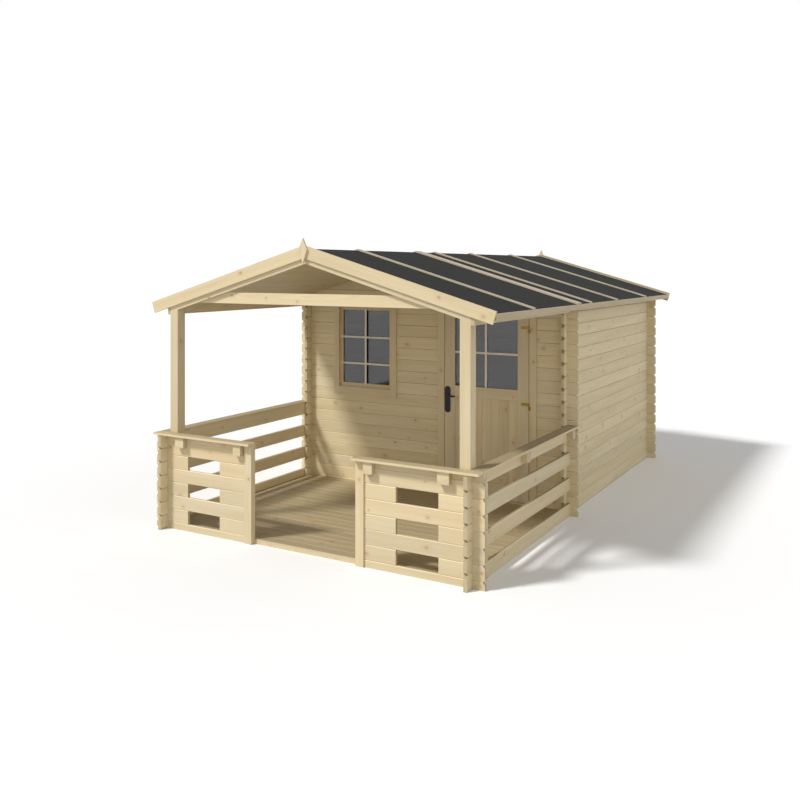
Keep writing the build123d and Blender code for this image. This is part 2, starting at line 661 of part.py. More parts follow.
def hinge(z, side):
    """Half of a lift-off hinge: side 1 is fixed to the casing, -1 turns with the leaf and sits on it."""
    near = HINGE_X + side * (KNUCKLE + KNUCKLE_GAP)
    far = HINGE_X + side * (KNUCKLE + (FRAME_STRAP if side > 0 else HINGE_STRAP))
    start = z - HINGE_HEIGHT / 2 if side > 0 else z + KNUCKLE_GAP / 2
    end = z - KNUCKLE_GAP / 2 if side > 0 else z + HINGE_HEIGHT / 2
    low = start if side > 0 else end - STRAP_HEIGHT
    sheet = block(min(near, far), max(near, far), CASING_FACE - HINGE_SHEET, CASING_FACE, low, end)
    knuckle = Pos(HINGE_X, HINGE_Y, (start + end) / 2) * Cylinder(KNUCKLE, end - start)
    arm = block(min(near, HINGE_X), max(near, HINGE_X), CASING_FACE - HINGE_SHEET - KNUCKLE_GAP,
                CASING_FACE - KNUCKLE_GAP, start, end)
    return sheet + [knuckle, arm]


def write(name, pieces):
    """Place one node in the part's frame and save it."""
    if isinstance(pieces, (list, tuple, ShapeList)):
        pieces = Compound(list(pieces))
    export_step(Pos(0, -ORIGIN_Y, 0) * pieces, f"parts/{name}.step")


def write_pair(name, piece):
    """A right-hand piece and its mirror image."""
    if isinstance(piece, (list, tuple)):
        piece = Compound(list(piece))
    write(name + "_right", piece)
    write(name + "_left", mirrored(piece))


os.makedirs("parts", exist_ok=True)

write_pair("side_wall", side_wall())
write("back_wall", gable_wall(BACK_FACE - LOG))
wall_left, wall_right, wall_over = front_wall_pieces()
write("front_wall_left", wall_left)
write("front_wall_right", wall_right)
write("front_wall_over", wall_over)

write_pair("side_rail", side_rail())
write_pair("front_rail", front_rail())
write_pair("entry_post", entry_post())
write_pair("front_cap", front_cap())
write_pair("side_cap", side_cap())
write("cap_brackets", cap_brackets())

write_pair("corner_post", corner_post())
write_pair("eave_purlin", eave_purlin())
write("ridge_beam", ridge_beam())
write_pair("front_rafter", rafter())
write("tie_beam", tie_beam())

write_pair("roof_boards", roof_boards())
write("roof_felt", roof_felt())
write("roof_battens", roof_battens())
write_pair("eave_trim", eave_trim())
write_pair("front_fascia", fascia(ROOF_FRONT - TRIM, ROOF_FRONT))
write_pair("back_fascia", fascia(ROOF_BACK, ROOF_BACK + TRIM))
write("finials", [finial(ROOF_FRONT - 2 * TRIM), finial(ROOF_BACK + TRIM)])

write("terrace_floor", floor_boards(*TERRACE_AREA) - terrace_seats())
write("shed_floor", floor_boards(*ROOM_AREA))
write("terrace_bearers", floor_frame(*TERRACE_AREA) - terrace_seats())
write("shed_bearers", floor_frame(*ROOM_AREA))

write("window_frame", window_frame())
write("window_glass", window_glass())
jamb = door_jamb()
middle_of_door = Plane.YZ.offset((DOORWAY_LEFT + DOORWAY_RIGHT) / 2)
write("door_jamb_right", jamb)
write("door_jamb_left", mirror(jamb, about=middle_of_door))
write("door_head", door_head())
write("door_sill", door_sill())
write("frame_hinges", [hinge(z, 1) for z in HINGE_HEIGHTS])
write("door_leaf", door_leaf())
write("door_glass", door_glass())
write("door_hinges", [hinge(z, -1) for z in HINGE_HEIGHTS])
write("door_plates", door_plates())
write("door_lever", door_lever())
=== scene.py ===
import math

import bmesh
import bpy
from mathutils import Matrix, Vector


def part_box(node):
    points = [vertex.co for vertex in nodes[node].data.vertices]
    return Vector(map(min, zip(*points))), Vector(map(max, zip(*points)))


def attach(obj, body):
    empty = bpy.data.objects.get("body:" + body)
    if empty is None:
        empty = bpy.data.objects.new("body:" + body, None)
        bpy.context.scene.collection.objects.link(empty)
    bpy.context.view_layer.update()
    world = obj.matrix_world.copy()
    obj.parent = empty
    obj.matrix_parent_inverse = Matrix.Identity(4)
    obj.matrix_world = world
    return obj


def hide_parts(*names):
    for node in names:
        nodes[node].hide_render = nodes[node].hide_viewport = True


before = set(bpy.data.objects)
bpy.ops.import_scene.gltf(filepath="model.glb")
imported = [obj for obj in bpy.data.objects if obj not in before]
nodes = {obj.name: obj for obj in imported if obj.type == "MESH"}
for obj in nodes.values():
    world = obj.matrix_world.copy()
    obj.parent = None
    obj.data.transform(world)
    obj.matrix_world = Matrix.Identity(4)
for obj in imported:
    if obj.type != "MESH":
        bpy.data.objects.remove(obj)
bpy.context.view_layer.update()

# Sizes that the frame doesn't give
LOG_COURSE = 0.115
HALF_COURSE = LOG_COURSE / 2
FLOOR_BOARD = 0.112
ROOF_SLOPE = math.radians(17.0)
SLOPE_BOARD = 0.110               # width of the boards that follow the slope
CORNER_LOGS = 0.286               # short logs of a side rail, behind the middle of the front rail

BAR_WIDTH = 0.020
BAR_DEPTH = 0.014
BAR_CHAMFER = 0.002
GRILLE_AHEAD = 0.016              # back of the window's bars, ahead of its glass
GRILLE_DEPTH = 0.008
SASH_SIDE = 0.030                 # glass to the window's lining
WINDOW_BARS = (1.256, 1.529)      # heights of the window's level bars over the ground

MID_RAIL = 0.105
BOTTOM_RAIL = 0.150
PANEL_BOARDS = 7

COVER_STRIPES = 4                 # strips in the broad roof batten
COVER_WIDTH = 0.125
COVER_AHEAD = 0.209               # middle of the broad batten, ahead of the shed's front wall

ROOF_JOINT = 0.238                # butt joint of the roof boards, ahead of the shed's front wall
ROOF_BOARD = 0.095                # about how wide a roof board is
ROOF_BOARD_THICK = 0.018
ROOF_BOARD_CHAMFER = 0.003
ROOF_BOARD_GAP = 0.0003           # half the gap between two roof boards
ROOF_JOINT_GAP = 0.0005           # half the gap at the butt joint

# Grain of the wood
RING_SPACING = 0.0085
KNOT_LEAST = 0.0045               # radius of the smallest knot
KNOT_SPREAD = 0.008               # how much wider than that a knot can be
KNOT_SPACING = 0.42
BOARD_SPACING = 0.50              # knot spacing of posts, caps and trim
LOG_KNOTS = 0.4                   # share of the stretches of a log that have a knot
LOG_CUT = 0.85                    # how far slanted log ends take the colour of end grain
JOINT_OUTER = 0.0045              # how far from a joint its dark line begins
JOINT_INNER = 0.0015              # how far from it the line is darkest
RAIL_GRAIN = 0.15                 # board width for the grain of a frame's rails
FOOT_GRAIN = 0.20                 # the same for the door's bottom rail
OVER_ALL = 9.0                    # a height over every piece

# Colours, linear
PINE_LIGHT = (0.765, 0.648, 0.430)
PINE_DARK = (0.580, 0.445, 0.250)
WALL_LIGHT = (0.800, 0.690, 0.460)
WALL_DARK = (0.620, 0.490, 0.280)
SHADED_LIGHT = (0.650, 0.545, 0.340)
SHADED_DARK = (0.480, 0.370, 0.200)
TRIM_LIGHT = (0.550, 0.460, 0.308)
TRIM_DARK = (0.425, 0.338, 0.218)
BATTEN_LIGHT = (0.560, 0.490, 0.375)
BATTEN_DARK = (0.460, 0.390, 0.285)
BAR_LIGHT = (0.860, 0.790, 0.680)
BAR_DARK = (0.760, 0.680, 0.570)
END_GRAIN = (0.370, 0.285, 0.165)
KNOT = (0.330, 0.170, 0.085)
KNOT_RIM = (0.560, 0.370, 0.200)
JOINT = (0.130, 0.078, 0.032)
FELT = (0.0132, 0.0132, 0.0126)
FELT_GRIT = (0.0218, 0.0213, 0.0198)
BRASS = (0.330, 0.200, 0.035)
BLACK = (0.012, 0.012, 0.013)
# Grey tint of the glass: painted shade that stands in for the dark room behind it
GLASS_SHADE_TINT = (0.36, 0.36, 0.36)
GLASS_IOR = 1.75

# Light
SUN_TRAVEL = Vector((0.515, 0.74, -1.0))      # the way its light goes
SUN_STRENGTH = 2.55
SUN_COLOUR = (1.0, 0.990, 0.970)
SUN_ANGLE = math.radians(9.0)
SKY_LEVEL = 0.98
SKY_OVERHEAD = 0.24
SKY_SIDE = 0.18                   # how much brighter the sky is on the right than in front
SKY_COLOUR = (1.0, 0.990, 0.970)
WHITE = (1.0, 1.0, 1.0)
GROUND_BOUNCE = (0.52, 0.52, 0.52)            # colour for the light that it throws back
GROUND_SEEN = (0.945, 0.955, 0.978)           # colour where it is seen
GROUND_HALF = 150.0                           # half the length of its side

# Camera, fitted to points measured in the photo
CAMERA_PLACE = (3.8861, -9.1660, 2.2450)
CAMERA_TURN = (90.0, -0.034, 34.312)          # degrees
CAMERA_LENS = 42.376                          # millimetres, as is the sensor
CAMERA_SENSOR = 36.0
CAMERA_SHIFT = (0.1738, -0.1653)


class Tree:
    """Short calls that add nodes to one node tree."""

    def __init__(self, tree):
        self.tree = tree

    def feed(self, socket, value):
        if isinstance(value, bpy.types.NodeSocket):
            self.tree.links.new(value, socket)
        else:
            socket.default_value = value

    def node(self, kind, settings=None, inputs=None):
        made = self.tree.nodes.new("ShaderNode" + kind)
        for key, value in (settings or {}).items():
            setattr(made, key, value)
        for key, value in (inputs or {}).items():
            self.feed(made.inputs[key], value)
        return made

    def math(self, operation, *values, clamp=False):
        settings = {"operation": operation, "use_clamp": clamp}
        return self.node("Math", settings, dict(enumerate(values))).outputs[0]

    def times(self, product, *others):
        for value in others:
            product = self.math("MULTIPLY", product, value)
        return product

    def plus(self, a, b, clamp=False):
        return self.math("ADD", a, b, clamp=clamp)

    def minus(self, a, b):
        return self.math("SUBTRACT", a, b)

    def scaled(self, value, factor, offset):
        """Value times factor, plus offset."""
        return self.math("MULTIPLY_ADD", value, factor, offset)

    def vector(self, operation, *values):
        return self.node("VectorMath", {"operation": operation}, dict(enumerate(values))).outputs[0]

    def combine(self, x, y, z):
        return self.node("CombineXYZ", None, {0: x, 1: y, 2: z}).outputs[0]

    def separate(self, vector):
        return self.node("SeparateXYZ", None, {0: vector}).outputs

    def step(self, value, low, high):
        """Smooth rise from 0 at low to 1 at high, which may be the smaller."""
        settings = {"interpolation_type": "SMOOTHSTEP"}
        inputs = {"Value": value, "From Min": low, "From Max": high, "To Min": 0.0, "To Max": 1.0}
        return self.node("MapRange", settings, inputs).outputs[0]

    def blend(self, factor, a, b, kind="MIX"):
        made = self.node("Mix", {"data_type": "RGBA", "blend_type": kind, "clamp_factor": True})
        self.feed(made.inputs[0], factor)
        self.feed(made.inputs[6], a)
        self.feed(made.inputs[7], b)
        return made.outputs[2]

    def noise(self, vector, scale=1.0, detail=2.0, roughness=0.5):
        inputs = {"Vector": vector, "Scale": scale, "Detail": detail, "Roughness": roughness}
        return self.node("TexNoise", None, inputs).outputs["Fac"]

    def white(self, vector):
        return self.node("TexWhiteNoise", {"noise_dimensions": "3D"}, {"Vector": vector})

    def bump(self, strength, distance, height):
        inputs = {"Strength": strength, "Distance": distance, "Height": height}
        return self.node("Bump", None, inputs).outputs[0]

    def turned(self, vector, angle):
        settings = {"rotation_type": "Y_AXIS"}
        return self.node("VectorRotate", settings, {"Vector": vector, "Angle": angle}).outputs[0]


def rgba(colour):
    return (*colour, 1.0)


def darker(colour, share):
    return rgba(tuple(c * share for c in colour))


def new_material(name):
    material = bpy.data.materials.new(name)
    material.use_nodes = True
    material.node_tree.nodes.clear()
    t = Tree(material.node_tree)
    shader = t.node("BsdfPrincipled")
    t.node("OutputMaterial", None, {"Surface": shader.outputs[0]})
    return material, t, shader


# Wood
def pine_group():
    """Sawn pine. Place is along, across and deep, across counted from the edge of the first board."""
    group = bpy.data.node_groups.new("pine", "ShaderNodeTree")
    for name, kind in (("Place", "Vector"), ("Board", "Vector"), ("Pitch", "Float"),
                       ("Light", "Color"), ("Dark", "Color"), ("Knot spacing", "Float"),
                       ("Knots", "Float"), ("Gap", "Float"), ("End", "Float")):
        group.interface.new_socket(name, in_out="INPUT", socket_type="NodeSocket" + kind)
    for name, kind in (("Color", "Color"), ("Roughness", "Float"), ("Height", "Float")):
        group.interface.new_socket(name, in_out="OUTPUT", socket_type="NodeSocket" + kind)
    t = Tree(group)
    given = group.nodes.new("NodeGroupInput").outputs
    result = group.nodes.new("NodeGroupOutput").inputs

    pitch = given["Pitch"]
    along, across, deep = t.separate(given["Place"])
    rows = t.math("DIVIDE", across, pitch)
    row = t.math("FLOOR", rows)
    local = t.times(t.minus(t.minus(rows, row), 0.5), pitch)
    chance = t.white(t.vector("ADD", given["Board"], t.combine(row, 0.37, 0.0)))
    red, green, blue = t.separate(chance.outputs["Color"])
    shifted = t.scaled(chance.outputs["Value"], 61.0, along)

    # Knots: at most one in each stretch of a board, anywhere across it
    spacing = given["Knot spacing"]
    stretch = t.math("DIVIDE", shifted, spacing)
    cells = t.node("TexVoronoi", {"voronoi_dimensions": "1D"},
                   {"W": stretch, "Scale": 1.0, "Randomness": 0.85})
    knot_red, knot_green, knot_blue = t.separate(cells.outputs["Color"])
    knot_along = t.times(t.minus(stretch, cells.outputs["W"]), spacing, 0.75)
    knot_row = t.times(t.minus(knot_red, 0.5), t.times(pitch, 0.75))
    knot_across = t.minus(local, knot_row)
    squares = t.plus(t.math("POWER", knot_along, 2.0), t.math("POWER", knot_across, 2.0))
    distance = t.math("SQRT", squares)
    nearness = t.math("DIVIDE", distance, t.scaled(knot_green, KNOT_SPREAD, KNOT_LEAST))
    present = t.math("LESS_THAN", knot_blue, given["Knots"])
    core = t.times(t.step(nearness, 1.2, 0.3), present)
    rim = t.times(t.step(nearness, 2.0, 0.9), present)
    halo = t.times(t.step(nearness, 4.5, 0.8), present)

    def stretched(lengthwise, sideways, side):
        """The place for noise that is drawn out along the grain."""
        return t.combine(t.times(shifted, lengthwise), t.times(side, sideways), t.times(deep, sideways))

    # Growth rings round a pith outside the board
    streaks = t.noise(stretched(0.9, 16.0, local))
    wander = t.times(t.minus(t.noise(stretched(1.3, 5.0, local), detail=1.0), 0.5), 0.055)
    pith_across = t.times(t.minus(green, 0.5), 0.15)
    pith_deep = t.scaled(blue, 0.06, 0.02)
    from_pith = t.combine(t.minus(local, pith_across), t.plus(deep, pith_deep), 0.0)
    ring = t.node("VectorMath", {"operation": "LENGTH"}, {0: from_pith}).outputs["Value"]
    ring = t.plus(t.plus(ring, wander), t.times(halo, 0.010))
    wave = t.math("SINE", t.times(ring, 2 * math.pi / RING_SPACING))
    rings = t.math("POWER", t.scaled(wave, 0.5, 0.5), 2.2)
    fibres = t.noise(stretched(4.0, 150.0, across), detail=3.0, roughness=0.6)

    darkness = t.plus(t.times(rings, 0.20), t.scaled(streaks, 1.05, -0.34))
    darkness = t.plus(darkness, t.scaled(fibres, 0.36, -0.18), clamp=True)
    colour = t.blend(darkness, given["Light"], given["Dark"])

    # Each board has its own tone
    level = t.scaled(red, 0.11, 0.935)
    warmth = t.scaled(green, 0.06, -0.03)
    tint = t.combine(t.plus(level, t.times(warmth, 0.5)), level, t.minus(level, warmth))
    colour = t.blend(1.0, colour, tint, "MULTIPLY")
    colour = t.blend(t.times(halo, 0.18), colour, rgba(KNOT_RIM))
    colour = t.blend(t.times(rim, 0.30), colour, rgba(KNOT_RIM))
    colour = t.blend(t.times(core, t.scaled(knot_red, 0.40, 0.18)), colour, rgba(KNOT))

    # Sawn ends are darker, with the rings as arcs
    end_colour = t.blend(t.times(rings, 0.30), rgba(END_GRAIN), darker(END_GRAIN, 0.6))
    colour = t.blend(given["End"], colour, end_colour)

    # The open joint between two boards
    edge = t.minus(t.times(pitch, 0.5), t.math("ABSOLUTE", local))
    gap = t.times(t.step(edge, JOINT_OUTER, JOINT_INNER), given["Gap"])
    colour = t.blend(gap, colour, rgba(JOINT))

    t.feed(result["Color"], colour)
    t.feed(result["Roughness"], t.scaled(fibres, 0.20, 0.52))
    t.feed(result["Height"], t.minus(t.times(fibres, 0.6), t.times(rings, 0.4)))
    return group


PINE = pine_group()


def pine(name, along, across, origin, board, pitch, gap=0.0, knots=0.55, spacing=KNOT_SPACING, turn=0.0,
         light=PINE_LIGHT, dark=PINE_DARK, end=0.5, cut=0.0, top_shade=1.0, bevel=1.0, joints_before=None,
         members=()):
    """Pine material. Along and across are axis letters, origin is the edge of the first board at mid
    depth, board numbers tell boards in one row apart, and turn tilts the grain about +Y for a slope.
    End and cut are how far square and slanted ends take the colour of end grain, top dims the faces
    that look up, and bevel brightens the upper edges of logs. Joints before is the Y where the joint
    lines stop, for logs with air between them from there on. Members are boards of a frame with their
    own grain: x0, x1, z0, z1, along, pitch."""
    material, t, shader = new_material(name)
    coordinates = t.node("TexCoord").outputs
    place = coordinates["Object"]
    facing = coordinates["Normal"]
    own = t.separate(place)
    upward = t.separate(facing)["Z"]
    if turn:
        place = t.turned(place, turn)
        facing = t.turned(facing, turn)
        origin = Matrix.Rotation(-turn, 3, "Y") @ Vector(origin)
    facing = dict(zip("XYZ", t.separate(facing)))

    def grain(along, across, origin, board, pitch):
        parts = dict(zip("XYZ", t.separate(t.vector("SUBTRACT", place, tuple(origin)))))
        deep = next(axis for axis in "XYZ" if axis not in (along, across))
        group = t.node("Group", {"node_tree": PINE})
        t.feed(group.inputs["Place"], t.combine(parts[along], parts[across], parts[deep]))
        for key, value in (("Board", board), ("Pitch", pitch), ("Light", rgba(light)),
                           ("Dark", rgba(dark)), ("Knot spacing", spacing), ("Knots", knots)):
            group.inputs[key].default_value = value
        return group

    group = grain(along, across, origin, board, pitch)
    if gap:
        # Not on the faces that lie in the joints themselves, nor on the upper edges of the logs
        beside = t.step(t.math("ABSOLUTE", facing[across]), 0.95, 0.80)
        if across == "Z":
            beside = t.times(beside, t.step(upward, 0.5, 0.2))
        if joints_before is not None:
            beside = t.times(beside, t.math("LESS_THAN", own["Y"], joints_before))
        t.feed(group.inputs["Gap"], t.times(beside, gap))
    if end or cut:
        # Square ends face along the grain, cut corners partly along it
        lengthwise = t.math("ABSOLUTE", facing[along])
        square = t.step(lengthwise, 0.85, 0.95)
        slanted = t.times(t.step(lengthwise, 0.45, 0.62), t.minus(1.0, square))
        t.feed(group.inputs["End"], t.plus(t.times(square, end), t.times(slanted, cut)))

    colour = group.outputs["Color"]
    height = group.outputs["Height"]
    for count, (x0, x1, z0, z1, member_along, member_pitch) in enumerate(members):
        member = grain(member_along, "Z" if member_along == "X" else "X", (x0, origin[1], z0),
                       (board[0] + 100.0 + count, 5.0, 3.0), member_pitch)
        inside = t.times(t.math("GREATER_THAN", own["X"], x0), t.math("LESS_THAN", own["X"], x1),
                         t.math("GREATER_THAN", own["Z"], z0), t.math("LESS_THAN", own["Z"], z1))
        rim_x = t.math("MINIMUM", t.minus(own["X"], x0), t.minus(x1, own["X"]))
        rim_z = t.math("MINIMUM", t.minus(own["Z"], z0), t.minus(z1, own["Z"]))
        line = t.times(t.step(t.math("MINIMUM", rim_x, rim_z), 0.0014, 0.0004), 0.5)
        colour = t.blend(inside, colour, t.blend(line, member.outputs["Color"], rgba(JOINT)))
        height = t.plus(t.times(height, t.minus(1.0, inside)), t.times(member.outputs["Height"], inside))
    # Painted shade: the faces that look up are dimmed and browned.
    if top_shade != 1.0:
        shaded_tops = t.blend(1.0, colour, rgba((top_shade, top_shade * 0.97, top_shade * 0.90)), "MULTIPLY")
        colour = t.blend(t.step(upward, 0.80, 0.95), colour, shaded_tops)
    # Painted highlight: the upper bevels of the logs are brightened, as sunlight on them would do.
    if bevel != 1.0:
        edges = t.times(t.step(upward, 0.45, 0.60), t.step(upward, 0.90, 0.75))
        colour = t.blend(edges, colour, t.vector("MULTIPLY", colour, (bevel,) * 3))
    t.feed(shader.inputs["Base Color"], colour)
    t.feed(shader.inputs["Roughness"], group.outputs["Roughness"])
    t.feed(shader.inputs["Normal"], t.bump(strength=0.35, distance=0.0012, height=height))
    shader.inputs["Specular IOR Level"].default_value = 0.25
    return material


def assign(piece, material):
    piece.data.materials.clear()
    piece.data.materials.append(material)


def middle(node):
    low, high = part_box(node)
    return (low + high) / 2


def dress_logs():
    """Log walls and rails: one row of colour per course."""
    wall_colours = {"light": WALL_LIGHT, "dark": WALL_DARK}
    joints_before = middle("front_rail_left").y + CORNER_LOGS
    rail_options = {"end": 0.5, "gap": 1.0, "top_shade": 0.5, "joints_before": joints_before}
    for side, number in (("left", 1.0), ("right", 2.0)):
        for kind, row, options in (("side_wall_", 5.0, {"end": 0.3, "gap": 0.9}),
                                   ("side_rail_", 6.0, rail_options),
                                   ("eave_purlin_", 8.0, {"end": 0.5})):
            node = kind + side
            assign(nodes[node],
                   pine(node, "Y", "Z", (middle(node).x, 0.0, 0.0), (number, 0.0, row), LOG_COURSE,
                        cut=LOG_CUT, knots=LOG_KNOTS, **wall_colours, **options))
        node = "front_rail_" + side
        assign(nodes[node],
               pine(node, "X", "Z", (0.0, middle(node).y, -HALF_COURSE), (number, 3.0, 1.0), LOG_COURSE,
                    gap=0.45, knots=LOG_KNOTS, cut=LOG_CUT, bevel=1.25, top_shade=0.8))
    for wall, members in (("front_wall", ("front_wall_left", "front_wall_right", "front_wall_over")),
                          ("back_wall", ("back_wall",))):
        origin = (0.0, middle(members[0]).y, -HALF_COURSE)
        material = pine(wall, "X", "Z", origin, (float(len(members)), 7.0, 2.0), LOG_COURSE, gap=0.75,
                        knots=LOG_KNOTS, cut=LOG_CUT, bevel=1.2, **wall_colours)
        for node in members:
            assign(nodes[node], material)


def dress_board(node, along, number, knots=0.45, turn=0.0, **options):
    """One board or post: its own grain, no joints."""
    low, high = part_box(node)
    sizes = dict(zip("XYZ", high - low))
    origin = dict(zip("XYZ", (low + high) / 2))
    across = max((axis for axis in "XYZ" if axis != along), key=lambda axis: sizes[axis])
    width = sizes[across]
    if turn:
        width = SLOPE_BOARD
        across = "Z"
    origin[across] -= width / 2
    material = pine(node, along, across, tuple(origin.values()), (number, 1.0, 9.0), width,
                    knots=knots, turn=turn, **options)
    assign(nodes[node], material)


def dress_boards():
    """Posts, beams, caps, trim, the window frame and the door leaf."""
    trim_colours = {"light": TRIM_LIGHT, "dark": TRIM_DARK}
    number = 10.0
    for side, sign in (("left", -1), ("right", 1)):
        for kind, along, options in (("corner_post_", "Z", {}),
                                     ("entry_post_", "Z", {}),
                                     ("front_cap_", "X", {"top_shade": 0.67, "end": 0.0}),
                                     ("side_cap_", "Y", {"top_shade": 0.50, "end": 0.0}),
                                     ("eave_trim_", "Y", trim_colours)):
            number += 1.0
            dress_board(kind + side, along, number, spacing=BOARD_SPACING, **options)
        for kind, options in (("front_fascia_", {}), ("back_fascia_", trim_colours),
                              ("front_rafter_", {})):
            number += 1.0
            dress_board(kind + side, "X", number, turn=-sign * ROOF_SLOPE, spacing=BOARD_SPACING,
                        end=0.2, **options)
    for node, along in (("tie_beam", "X"), ("ridge_beam", "Y"), ("finials", "Z"), ("door_head", "X"),
                        ("door_sill", "X"), ("door_jamb_left", "Z"), ("door_jamb_right", "Z")):
        number += 1.0
        dress_board(node, along, number)

    low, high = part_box("window_glass")
    x0, x1 = low.x - SASH_SIDE, high.x + SASH_SIDE
    dress_board("window_frame", "Z", 28.0,
                members=((x0, x1, 0.0, low.z, "X", RAIL_GRAIN),
                         (x0, x1, high.z, OVER_ALL, "X", RAIL_GRAIN)))
    low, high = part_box("door_glass")
    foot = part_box("door_leaf")[0].z + BOTTOM_RAIL
    panel_top = low.z - MID_RAIL
    dress_board("door_leaf", "Z", 29.0,
                members=((low.x, high.x, foot, panel_top, "Z", (high.x - low.x) / PANEL_BOARDS),
                         (low.x, high.x, panel_top, low.z, "X", RAIL_GRAIN),
                         (low.x, high.x, high.z, OVER_ALL, "X", RAIL_GRAIN),
                         (low.x, high.x, 0.0, foot, "X", FOOT_GRAIN)))
    dress_board("cap_brackets", "X", 30.0, end=0.3)

    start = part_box("front_wall_left")[0].y - COVER_AHEAD - COVER_WIDTH / 2
    origin = (0.0, start, middle("roof_battens").z)
    assign(nodes["roof_battens"],
           pine("roof_battens", "X", "Y", origin, (31.0, 1.0, 9.0), COVER_WIDTH / COVER_STRIPES, gap=0.6,
                knots=0.0, light=BATTEN_LIGHT, dark=BATTEN_DARK, end=0.2))


def dress_floors():
    """Floors with a faint line between their boards, and the bearers under them."""
    for node, number in (("terrace_floor", 40.0), ("shed_floor", 41.0)):
        origin = (0.0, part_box(node)[0].y, middle(node).z)
        assign(nodes[node],
               pine(node, "X", "Y", origin, (number, 2.0, 4.0), FLOOR_BOARD, gap=0.04, knots=0.3,
                    top_shade=0.58))
    for node in ("terrace_bearers", "shed_bearers"):
        dress_board(node, "Y", 45.0, end=0.0)


# Other materials
def felt_material():
    material, t, shader = new_material("roof_felt_grit")
    place = t.node("TexCoord").outputs["Object"]
    grit = t.noise(place, 420.0, 2.0, 0.7)
    patches = t.noise(place, 3.0, 3.0)
    amount = t.plus(t.step(grit, 0.45, 0.75), t.scaled(patches, 0.5, -0.25), clamp=True)
    t.feed(shader.inputs["Base Color"], t.blend(amount, rgba(FELT), rgba(FELT_GRIT)))
    t.feed(shader.inputs["Roughness"], t.scaled(grit, 0.2, 0.75))
    t.feed(shader.inputs["Normal"], t.bump(strength=0.5, distance=0.0015, height=grit))
    shader.inputs["Specular IOR Level"].default_value = 0.12
    return material


def metal_material(name, colour, metallic, roughness):
    material, t, shader = new_material(name)
    place = t.node("TexCoord").outputs["Object"]
    cloud = t.noise(place, 60.0, 3.0)
    worn = t.blend(t.step(cloud, 0.4, 0.75), rgba(colour), darker(colour, 0.7))
    t.feed(shader.inputs["Base Color"], worn)
    t.feed(shader.inputs["Roughness"], t.scaled(cloud, 0.2, roughness - 0.1))
    t.feed(shader.inputs["Normal"], t.bump(strength=0.1, distance=0.0005, height=t.noise(place, 900.0)))
    shader.inputs["Metallic"].default_value = metallic
    return material


def glass_material():
    material, t, shader = new_material("shade_tinted_glass")
    waves = t.noise(t.node("TexCoord").outputs["Object"], 2.5, 1.0)
    t.feed(shader.inputs["Normal"], t.bump(strength=0.03, distance=0.01, height=waves))
    # The grey tint is painted shade for the dark room behind the glass
    t.feed(shader.inputs["Base Color"], t.blend(waves, rgba(GLASS_SHADE_TINT), darker(GLASS_SHADE_TINT, 0.97)))
    shader.inputs["Transmission Weight"].default_value = 1.0
    shader.inputs["Roughness"].default_value = 0.02
    shader.inputs["IOR"].default_value = GLASS_IOR
    return material


def dress_others():
    """Felt, hinges, handles and glass."""
    felt = felt_material()
    brass = metal_material("satin_brass", BRASS, metallic=0.85, roughness=0.38)
    black = metal_material("satin_black", BLACK, metallic=0.2, roughness=0.42)
    glass = glass_material()
    for material, members in ((felt, ("roof_felt",)),
                              (brass, ("frame_hinges", "door_hinges")),
                              (black, ("door_plates", "door_lever")),
                              (glass, ("window_glass", "door_glass"))):
        for node in members:
            assign(nodes[node], material)


# Pieces made here: the glazing bars, and separate boards in place of the plain sheets under the felt
def new_piece(name, bm, body, material):
    mesh = bpy.data.meshes.new(name)
    bmesh.ops.recalc_face_normals(bm, faces=bm.faces)
    bm.to_mesh(mesh)
    bm.free()
    piece = bpy.data.objects.new(name, mesh)
    bpy.context.scene.collection.objects.link(piece)
    assign(piece, material)
    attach(piece, body)
    return piece


def add_bar(bm, low, high):
    """Bar between two corners with its edges cut."""
    low, high = Vector(low), Vector(high)
    made = bmesh.ops.create_cube(bm, size=1.0)
    size = high - low
    for vertex in made["verts"]:
        vertex.co = Vector(c * s for c, s in zip(vertex.co, size)) + (low + high) / 2
    edges = dict.fromkeys(edge for vertex in made["verts"] for edge in vertex.link_edges)
    bmesh.ops.bevel(bm, geom=list(edges), offset=BAR_CHAMFER, segments=1, affect="EDGES")


def glazing_bars(name, glass, body, layers, lap, levels, number):
    """Bars on a pane: one upright in its middle and level ones, in layers from y0 to y1, the level ones
    with their ends past the pane by the lap."""
    low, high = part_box(glass)
    half = BAR_WIDTH / 2
    upright = middle(glass).x
    bm = bmesh.new()
    for y0, y1 in layers:
        add_bar(bm, (upright - half, y0, low.z - lap / 2), (upright + half, y1, high.z + lap / 2))
        for z in levels:
            for x0, x1 in ((low.x - lap, upright - half), (upright + half, high.x + lap)):
                add_bar(bm, (x0, y0, z - half), (x1, y1, z + half))
    material = pine(name + "_pine", "Z", "X", (upright - half, layers[0][0], 0.0), (number, 6.0, 3.0),
                    BAR_WIDTH, knots=0.0, light=BAR_LIGHT, dark=BAR_DARK, end=0.0)
    new_piece(name, bm, body, material)


